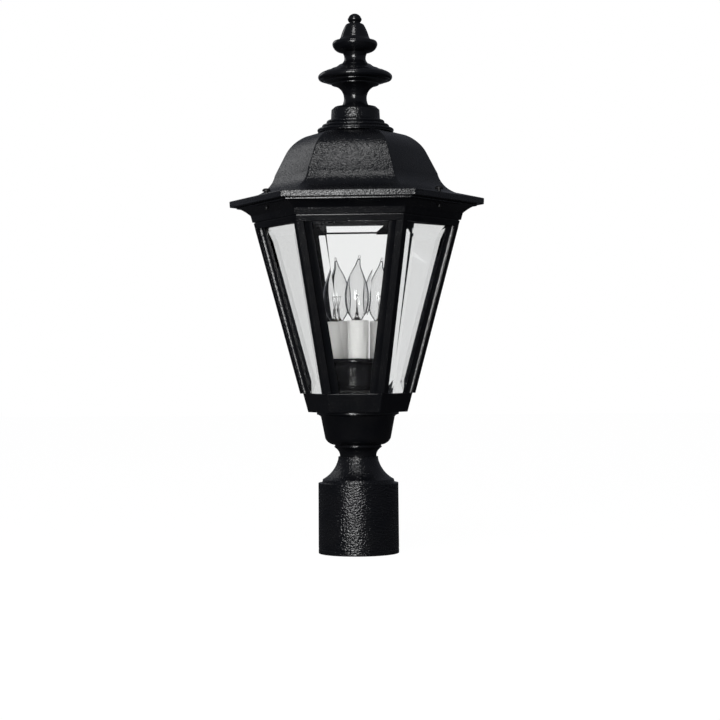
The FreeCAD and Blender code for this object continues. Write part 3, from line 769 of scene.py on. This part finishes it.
def bentRun(shape, rise, run, slopeRise, slopeRun, steps=14):
    # leaves along the slope before it, and bends evenly to its end
    across = shape.across
    turn = math.atan2(rise, run * across) - math.atan2(slopeRise, slopeRun * across)
    swell = 0.5 * math.hypot(rise, run * across) * math.tan(0.5 * turn)
    shape.curve(rise, run, swell, steps)


def makeRoof():
    # outer form from the land to the cap, then the inside of the shell back down to it
    sizes = roofSizes
    low = nodeBox("roof")[0].z
    across = math.cos(math.pi / 6)
    wall = sizes["wall"]
    wallRun = wall / across
    land = sizes["brim"] + sizes["land"]
    shape = Profile(land, low, across).to(sizes["eave"] - sizes["fasciaDraft"], low)
    shape.to(sizes["eave"], low + sizes["fascia"])
    shape.to(sizes["brim"], shape.height + sizes["brimRise"])
    shape.curve(sizes["flareRise"], sizes["flareEnd"] - sizes["brim"], -sizes["flareHollow"], 16)
    shape.up(sizes["slopeRise"], -sizes["slopeRun"])
    bentRun(shape, sizes["shoulderRise"], -sizes["shoulderRun"], sizes["slopeRise"], -sizes["slopeRun"])
    shape.to(sizes["cap"], shape.height + sizes["capRise"])
    top = shape.height
    shape.to(sizes["studRoom"], top).to(sizes["studRoom"], top - wall)
    shape.to(sizes["cap"], top - wall)
    shape.to(sizes["cap"] + sizes["shoulderRun"] - wallRun / 3 - sizes["shoulderIn"],
             top - sizes["capRise"] - wall / 2 - sizes["shoulderDown"])
    shape.to(sizes["flareEnd"] - sizes["slopeRun"] - wallRun / 2 - sizes["slopeIn"],
             top - sizes["capRise"] - sizes["shoulderRise"] - wall / 2)
    brimTop = low + sizes["fascia"] + sizes["brimRise"]
    shape.to(sizes["flareEnd"] - wallRun / 2 - sizes["flareIn"], brimTop + sizes["flareRise"])
    brimLow = brimTop - wall
    brimRun = sizes["brim"] - wallRun / 2 - shape.radius
    shape.curve(brimLow - shape.height, brimRun, sizes["flareHollow"], 8)
    shape.to(land, brimLow - sizes["land"] * sizes["brimRise"] / (sizes["eave"] - sizes["brim"]))
    hexed("roofShell", shape, "roof", sizes, castCoat)


friezeSizes = {
    "foot": 110.0, "slope": 0.26738, "lower": 6.0, "groove": 1.0, "grooveDepth": 1.1, "upper": 7.1,
    "proud": 1.4, "cove": 7.4, "coveHollow": 0.5, "coveReach": 11.8, "lipReach": 3.3, "lip": 1.8,
    "ledgeDrop": 7.7, "mouth": 96.0, "depth": 7.0, "fillet": 0.9, "edge": 0.35,
}


def makeFrieze():
    sizes = friezeSizes
    low, high = nodeBox("top_frame")
    across = math.cos(math.pi / 6)
    shape = Profile(sizes["foot"], low.z, across)
    shape.up(sizes["lower"], sizes["slope"] * sizes["lower"])
    shape.up(0, -sizes["grooveDepth"])
    shape.up(sizes["groove"])
    shape.up(0, sizes["grooveDepth"] + sizes["proud"])
    shape.up(sizes["upper"], sizes["slope"] * sizes["upper"])
    shape.curve(sizes["cove"], sizes["coveReach"], -sizes["coveHollow"], 8)
    shape.up(0, sizes["lipReach"])
    shape.up(sizes["lip"])
    shape.to(sizes["mouth"], high.z)
    ledge = high.z - sizes["ledgeDrop"]
    shape.to(sizes["mouth"], ledge)
    seat = sizes["foot"] - sizes["depth"] / across
    shape.to(seat + sizes["slope"] * (ledge - low.z), ledge)
    shape.to(seat, low.z)
    hexed("friezeFrame", shape, "top_frame", sizes, frameCoat)


cluster = {
    "bore": 5.5, "foot": 34.0, "footEase": 1.2, "footSwell": 0.35, "footRise": 7.4, "flange": 0.9,
    "flangeRise": 1.0, "flangeHollow": 0.25, "bead": 35.9, "beadRise": 2.6, "beadSwell": 0.75,
    "beadShoulder": 1.2, "wall": 35.3, "draft": 0.3, "shoulder": 38.0, "shoulderRise": 5.6,
    "shoulderHollow": 0.8, "gauge": 1.5, "edge": 0.2,
}
lid = {
    "hollow": 2.6, "skirtIn": 5, "skirtFoot": 4.4, "lip": 0.5, "lipRise": 1.4, "lipOut": 0.6,
    "lipSwell": 0.25, "rimRise": 1.3, "rimTaper": 0.2, "shoulder": 1.3, "shoulderSwell": 0.35,
    "crownRise": 0.1, "edge": 0.15,
}


def makeCluster():
    low, high = nodeBox("cluster_cup")
    shape = Profile(cluster["bore"], low.z).to(cluster["foot"] - cluster["footEase"], low.z)
    shape.curve(cluster["footEase"], cluster["footEase"], cluster["footSwell"], 6)
    shape.up(cluster["footRise"] - cluster["footEase"] - cluster["flangeRise"])
    shape.curve(cluster["flangeRise"], cluster["flange"], -cluster["flangeHollow"], 5)
    shape.curve(cluster["beadRise"], cluster["bead"] - shape.radius, cluster["beadSwell"], 8)
    shape.curve(cluster["beadShoulder"], cluster["wall"] - cluster["bead"], -cluster["flangeHollow"], 5)
    shape.to(cluster["wall"] - cluster["draft"], high.z - cluster["shoulderRise"])
    shape.curve(cluster["shoulderRise"], cluster["shoulder"] - shape.radius, -cluster["shoulderHollow"], 10)
    shape.to(shape.radius - cluster["gauge"], high.z)
    shape.to(cluster["wall"] - 2 * cluster["gauge"], high.z - cluster["shoulderRise"])
    shape.to(cluster["foot"] - cluster["gauge"] - 1, low.z + cluster["gauge"])
    shape.to(cluster["bore"], shape.height)
    turned("clusterCup", shape, "cluster_cup", cluster["edge"], closed=True)
    low, high = nodeBox("cluster_cover")
    shoulder = cluster["shoulder"]
    cover = Profile(0, low.z + lid["hollow"]).to(shoulder - lid["skirtIn"], low.z + lid["hollow"])
    cover.to(shoulder - lid["skirtFoot"], low.z).to(shoulder - lid["lip"], low.z)
    cover.curve(lid["lipRise"], lid["lipOut"], lid["lipSwell"], 5)
    cover.up(lid["rimRise"], -lid["rimTaper"])
    cover.curve(high.z - cover.height - lid["crownRise"], -lid["shoulder"], lid["shoulderSwell"], 6)
    cover.to(0, high.z)
    turned("clusterLid", cover, "cluster_cover", lid["edge"])


sleeve = {"wall": 1.0, "lip": 0.35, "lipSwell": 0.1, "sides": 72}
socket = {
    "neck": 4.6, "neckRise": 12.0, "chamfer": 0.8, "ribs": 3, "ribPitch": 3.4, "ribStep": 0.4, "ribRise": 0.8,
    "lip": 0.6, "play": 0.02, "well": 2.8, "edge": 0.15, "shellGauge": 0.4, "sides": 48,
}
lampBase = {
    "top": 1.4, "ridge": 0.28, "turns": 6.0, "contact": 2.0, "contactRise": 1.6, "contactFlare": 0.6,
    "contactSwell": 0.2, "insulator": 3.2, "insulatorRise": 1.6, "insulatorSwell": 0.3, "shoulder": 0.6,
    "shoulderIn": 0.5, "shoulderSwell": 0.1, "threadFoot": 4.2, "threadless": 6.5, "sides": 40, "crease": 30,
}


def makeLamp(number):
    node = "candle_sleeve_%d" % number
    low, high = nodeBox(node)
    outer = (high.x - low.x) / 2
    inner = outer - sleeve["wall"]
    tube = Profile(inner, low.z).to(outer, low.z).up(high.z - low.z - sleeve["lip"])
    tube.curve(sleeve["lip"], -sleeve["lip"], sleeve["lipSwell"], 4)
    tube.to(inner, tube.height)
    turned("candleSleeve%d" % number, tube, node, 0, closed=True, count=sleeve["sides"])

    node = "lamp_socket_%d" % number
    shell = nodeBox("socket_shell_%d" % number)
    bore = (shell[1].x - shell[0].x) / 2
    low, high = nodeBox(node)
    outer = (high.x - low.x) / 2
    body = Profile(0, low.z).to(socket["neck"], low.z).up(socket["neckRise"])
    body.to(outer - socket["chamfer"], low.z + socket["neckRise"])
    body.up(socket["chamfer"], socket["chamfer"])
    for _ in range(socket["ribs"]):
        body.up(socket["ribPitch"]).up(socket["ribStep"], -socket["ribStep"])
        body.up(socket["ribRise"]).up(socket["ribStep"], socket["ribStep"])
    body.to(outer, high.z - socket["lip"]).up(socket["lip"], -socket["lip"])
    floor = shell[0].z - socket["well"]
    body.to(bore + socket["play"], high.z).to(bore + socket["play"], floor).to(0, floor)
    turned("lampSocket%d" % number, body, node, socket["edge"], count=socket["sides"])

    node = "socket_shell_%d" % number
    inner = bore - socket["shellGauge"]
    lining = Profile(inner, shell[0].z).to(bore, shell[0].z).to(bore, shell[1].z).to(inner, shell[1].z)
    turned("socketShell%d" % number, lining, node, 0, closed=True, count=socket["sides"])

    node = "bulb_base_%d" % number
    low, high = nodeBox(node)
    root = (high.x - low.x) / 2 - lampBase["ridge"]
    cap = high.z - lampBase["top"]
    core = Profile(0, low.z).to(lampBase["contact"], low.z)
    core.curve(lampBase["contactRise"], lampBase["contactFlare"], lampBase["contactSwell"], 4)
    core.to(lampBase["insulator"], core.height)
    core.curve(lampBase["insulatorRise"], root - lampBase["insulator"], lampBase["insulatorSwell"], 5)
    core.to(root, cap - lampBase["shoulder"])
    core.curve(lampBase["shoulder"], -lampBase["shoulderIn"], lampBase["shoulderSwell"], 4)
    core.to(0, cap)
    grown = threaded(node, core, lampBase, root, low.z + lampBase["threadFoot"],
                     cap - low.z - lampBase["threadless"])
    base = newPiece("bulbBase%d" % number, place(grown, *middle(node)), node)
    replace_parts(base, node)


flame = {
    # height over the glass's foot, radius and lean of the outline
    "stations": ((0, 5.3, 0), (1.2, 5.45, 0), (3.0, 6.3, 0), (7.8, 9.4, 0), (11.8, 10.9, 0), (17, 12.2, 0),
                 (24, 12.75, 0), (31, 12.55, 0), (38, 11.3, 0), (44, 9.5, 0), (50, 7.2, 0.1),
                 (55, 4.9, 0.55), (59.4, 3.0, 1.3), (64.6, 1.95, 2.3), (68.6, 1.4, 2.9), (69.9, 0.8, 3.05)),
    "gauge": 0.8, "roomTop": 66.0, "rows": 5, "sides": 56, "tipRise": 0.25, "tipLean": 0.1,
    "roomTipRise": 0.9, "roomTipLean": 0.2, "turns": (90, 0, 0),
    # height, and the two half widths, of the glass stem's pressed bar
    "press": ((0.7, 4.6, 4.6), (3.0, 3.4, 3.0), (5.0, 2.5, 2.1), (9.0, 2.2, 1.6), (11.0, 2.9, 1.0),
              (14.6, 2.9, 0.9)),
    "pressSides": 32,
}
filament = {
    "wire": 0.24, "rise": 12.5,
    # half distance and height of a lead's bends, from the stem's top and from the coil
    "lowerBends": ((0.8, -9), (1.2, -1), (1.6, 2)), "upperBends": ((4.4, -1.4), (4.6, 0), (3.9, 0.5)),
    "coilDepth": 1.5, "coilNarrow": 0.8, "coilReach": 4.4, "coilRise": 0.9, "coilTurns": 9,
    "supports": 3, "supportWire": 0.8, "supportFoot": ((0.5, -1), (0.9, 4)),
    "supportTop": ((2.6, -0.6), (3.1, 0.6)),
}


def softly(values, rows):
    # smooth passage through the stations
    out = []
    for i in range(len(values) - 1):
        before = Vector(values[max(i - 1, 0)])
        first, second = Vector(values[i]), Vector(values[i + 1])
        after = Vector(values[min(i + 2, len(values) - 1)])
        for k in range(rows):
            t = k / rows
            square = 2 * before - 5 * first + 4 * second - after
            cube = 3 * first - before - 3 * second + after
            out.append(0.5 * (2 * first + (second - before) * t + square * t * t + cube * t ** 3))
    return out + [Vector(values[-1])]


def makeBulb(number):
    node = "bulb_glass_%d" % number
    low = nodeBox(node)[0].z
    x, y = middle("bulb_base_%d" % number)
    turn = math.degrees(math.atan2(y, x)) + flame["turns"][number - 1]
    rows = softly(flame["stations"], flame["rows"])
    sides = flame["sides"]
    gauge = flame["gauge"]
    skin = [roundRing(row.y, low + row.x, sides, row.z) for row in rows]
    last = rows[-1]
    skin.append(roundRing(tip, low + last.x + flame["tipRise"], sides, last.z + flame["tipLean"]))
    room = [row for row in rows if gauge * 1.5 < row.x < flame["roomTop"]]
    lining = [roundRing(row.y - gauge, low + row.x, sides, row.z) for row in reversed(room)]
    last = room[-1]
    roomTop = low + last.x + flame["roomTipRise"]
    lining.insert(0, roundRing(tip, roomTop, sides, last.z + flame["roomTipLean"]))
    lining.append(roundRing(tip, low + gauge * 1.5, sides))
    outside = skinned(node, [roundRing(tip, low, sides)] + skin, False)
    inside = skinned(node + "room", lining, False)
    inside.flip_normals()
    mesh = joined("bulbGlass%d" % number, outside, inside)
    smoothByAngle(mesh, 60)
    glass = newPiece("bulbGlass%d" % number, place(mesh, x, y, turn), node)
    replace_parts(glass, node)

    node = "bulb_stem_%d" % number
    angles = [math.tau * i / flame["pressSides"] for i in range(flame["pressSides"])]
    rings = [[(wide * math.cos(angle), thin * math.sin(angle), low + height) for angle in angles]
             for height, wide, thin in flame["press"]]
    mesh = skinned(node, rings, False)
    smoothByAngle(mesh, 50)
    stem = newPiece("bulbStem%d" % number, place(mesh, x, y, turn + 90), node)
    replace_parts(stem, node)

    node = "filament_%d" % number
    foot = low + flame["press"][-1][0]
    top = foot + filament["rise"]
    leads = [[(0, side * out, foot + rise) for out, rise in filament["lowerBends"]]
             + [(0, side * out, top + rise) for out, rise in filament["upperBends"]] for side in (-1, 1)]
    coil = []
    for i in range(filament["coilTurns"] + 1):
        angle = math.pi * (i / filament["coilTurns"] * 2 - 1)
        depth = filament["coilDepth"] * math.cos(angle) * (1 if i % 2 else filament["coilNarrow"])
        rise = filament["coilRise"] if i % 2 else 0.0
        coil.append((depth, filament["coilReach"] * math.sin(angle * 0.5), top + rise))
    wire = filament["wire"] * mm
    wires = growMesh(node, lineMesh(node, *leads, coil), "wire", Radius=wire, Sides=6, Count=1)
    arm = [(out, 0, foot + rise) for out, rise in filament["supportFoot"]]
    arm += [(out, 0, top + rise) for out, rise in filament["supportTop"]]
    arms = growMesh(node, lineMesh(node, arm), "wire", Radius=wire * filament["supportWire"], Sides=6,
                    Count=filament["supports"])
    mesh = joined("bulbWires%d" % number, wires, arms)
    wiring = newPiece("bulbWires%d" % number, place(mesh, x, y, turn), node)
    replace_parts(wiring, node)


pane = {"bevel": 1.5}


def makePane(number):
    # the solid's pane with its bevel carried further in
    node = "glass_pane_%d" % number
    shape = cleaned(node)
    flat = sorted(shape.faces, key=lambda face: face.calc_area())[-2]
    outward = flat.normal.copy()
    corners = set(flat.verts)
    moves = {}
    for corner in corners:
        for edge in corner.link_edges:
            other = edge.other_vert(corner)
            if other not in corners:
                reach = corner.co - other.co
                along = reach - outward * reach.dot(outward)
                moves[corner] = corner.co + along * (pane["bevel"] - 1)
    for corner, spot in moves.items():
        corner.co = spot
    mesh = meshFrom("bevelledPane%d" % number, shape)
    mesh.shade_flat()
    piece = newPiece(mesh.name, mesh, node)
    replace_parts(piece, node)


clip = {
    "width": 8.0, "gauge": 0.8, "spacing": 62.0, "foot": 5.0, "drop": 11.2, "lean": 13.0, "toe": 0.7,
    "bend": 0.6, "bendIn": 0.15, "bendDown": 0.25, "kink": 0.75,
}


def makeClips():
    # a foot under the ledge and a leaf that leans inward from the foot's outer end
    node = "glass_clips"
    high = nodeBox(node)[1]
    gauge = clip["gauge"]
    top = high.z - gauge / 2
    drop = clip["drop"]
    away = math.tan(math.radians(clip["lean"]))
    heel = high.y - gauge / 2
    lines = []
    for along in (-clip["spacing"] / 2, clip["spacing"] / 2):
        lines.append([
            (along, heel - (clip["foot"] - clip["bend"]), top),
            (along, heel - clip["bend"], top),
            (along, heel - clip["bendIn"], top - clip["bendDown"]),
            (along, heel, top - gauge),
            (along, heel - away * drop * clip["kink"], top - drop * clip["kink"]),
            (along, heel - away * drop + clip["toe"] * 0.3, top - drop + gauge / 2),
        ])
    mesh = growMesh(node, lineMesh(node, *lines), "strip", Width=gauge * mm, Gauge=clip["width"] * mm,
                    Count=6)
    piece = newPiece("glassClips", mesh, node)
    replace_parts(piece, node)


nipple = {"bore": 3.6, "turns": 34.0, "ridge": 0.4, "sides": 40, "crease": 30}
stud = {"bore": tip, "turns": 24.0, "ridge": 0.3, "sides": 40, "crease": 30}
rodEnd = {"chamfer": 0.4, "threadless": 1.2}


def makeThreaded(name, node, sizes):
    low, high = nodeBox(node)
    root = (high.x - low.x) / 2 - sizes["ridge"]
    chamfer, bare = rodEnd["chamfer"], rodEnd["threadless"]
    core = Profile(sizes["bore"], low.z).to(root - chamfer, low.z).up(chamfer, chamfer)
    core.to(root, high.z - chamfer).up(chamfer, -chamfer)
    core.to(sizes["bore"], core.height)
    grown = threaded(node, core, sizes, root, low.z + bare, high.z - low.z - 2 * bare, sizes["bore"] > tip)
    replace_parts(newPiece(name, place(grown, *middle(node)), node), node)


grub = {
    # distances from the post's axis
    "point": 38.9, "stand": 44.3, "top": 45.4,
    "tip": 1.9, "cone": 1.2, "coneFlare": 0.9, "shank": 2.8, "sides": 36,
    "threadFoot": 1.4, "threadRise": 2.6, "turns": 4.0, "ridge": 0.25,
    "head": 4.0, "flange": 1.12, "flangeRise": 0.4, "crown": 0.96, "crownDrop": 0.5, "fillet": 0.2,
    "recess": 2.1, "recessFoot": 1.8, "recessDepth": 0.7, "crease": 30,
}


def makeSetScrew(number):
    # threaded shank with a low hexagon, laid level and pointing at the post's axis
    node = "set_screw_%d" % number
    low, high = nodeBox(node)
    x, y = middle(node)
    core = Profile(tip, grub["point"]).to(grub["tip"], grub["point"]).up(grub["cone"], grub["coneFlare"])
    core.to(grub["shank"], grub["stand"])
    grown = threaded(node, core, grub, grub["shank"], grub["point"] + grub["threadFoot"], grub["threadRise"])
    flange = grub["head"] * grub["flange"]
    head = Profile(tip, grub["stand"]).to(grub["head"], grub["stand"])
    head.to(flange, grub["stand"] + grub["flangeRise"]).to(flange, grub["top"] - grub["crownDrop"])
    head.to(grub["head"] * grub["crown"], grub["top"]).to(grub["recess"], grub["top"])
    recess = grub["top"] - grub["recessDepth"]
    head.to(grub["recessFoot"], recess).to(tip, recess)
    rings = [hexRing(radius, height, grub["fillet"]) for radius, height in head.points]
    mesh = joined("setScrew%d" % number, grown, skinned(node, rings, False))
    level = Matrix.Translation((0, 0, (low.z + high.z) / 2 * mm))
    mesh.transform(level @ Matrix.Rotation(math.atan2(y, x), 4, "Z") @ Matrix.Rotation(math.pi / 2, 4, "Y"))
    smoothByAngle(mesh, grub["crease"])
    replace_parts(newPiece(mesh.name, mesh, node), node)


roofScrew = {
    "seat": 3.5, "point": 1.2, "pointRise": 0.8, "shank": 1.8, "ridge": 0.2, "turns": 12.0,
    "threadFoot": 1.0, "threadless": 2.5, "head": 4.4, "headRise": 1.1, "headFlare": 0.05,
    "domeRise": 1.9, "domeSwell": 0.75, "slotWall": 1.0, "slot": 0.8, "slotTaper": 0.25,
    "sides": 40, "crease": 35,
}


def makeRoofScrew(number):
    node = "roof_screw_%d" % number
    low, high = nodeBox(node)
    shank = roofScrew["shank"]
    seat = high.z - roofScrew["seat"]
    core = Profile(tip, low.z).to(roofScrew["point"], low.z)
    core.up(roofScrew["pointRise"], shank - roofScrew["point"]).to(shank, seat)
    core.to(roofScrew["head"], seat).up(roofScrew["headRise"], roofScrew["headFlare"])
    core.curve(roofScrew["domeRise"], roofScrew["slotWall"] - core.radius, roofScrew["domeSwell"], 8)
    core.up(-roofScrew["slot"], -roofScrew["slotTaper"]).to(tip, core.height)
    grown = threaded(node, core, roofScrew, shank, low.z + roofScrew["threadFoot"],
                     seat - low.z - roofScrew["threadless"])
    screw = newPiece("roofScrew%d" % number, place(grown, *middle(node)), node)
    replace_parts(screw, node)


for i in range(1, 4):
    makeRoofScrew(i)
for i in range(1, 3):
    makeSetScrew(i)
for i in range(1, 7):
    makePane(i)
for node in ("lower_locknut", "upper_locknut", "stud_nut", "stud_washer"):
    first, second = node.split("_")
    dressed(first + second.title(), node, 0.4)
for i in range(1, 4):
    makeLamp(i)
    makeBulb(i)
makeCluster()
makeClips()
makeThreaded("hollowNipple", "center_nipple", nipple)
makeThreaded("finialStud", "finial_stud", stud)
print("lamps, clips and threads made")
makeFinial()
makeCrown()
makeCup()
makeFitter()
makeRoof()
makeFrieze()
dressed("ringCasting", "base_ring", 0.7, finish=frameCoat)
for i in range(6):
    dressed("cornerRidge%d" % (i + 1), "corner_post_%d" % (i + 1), 0, 12, frameCoat)
print("castings made")
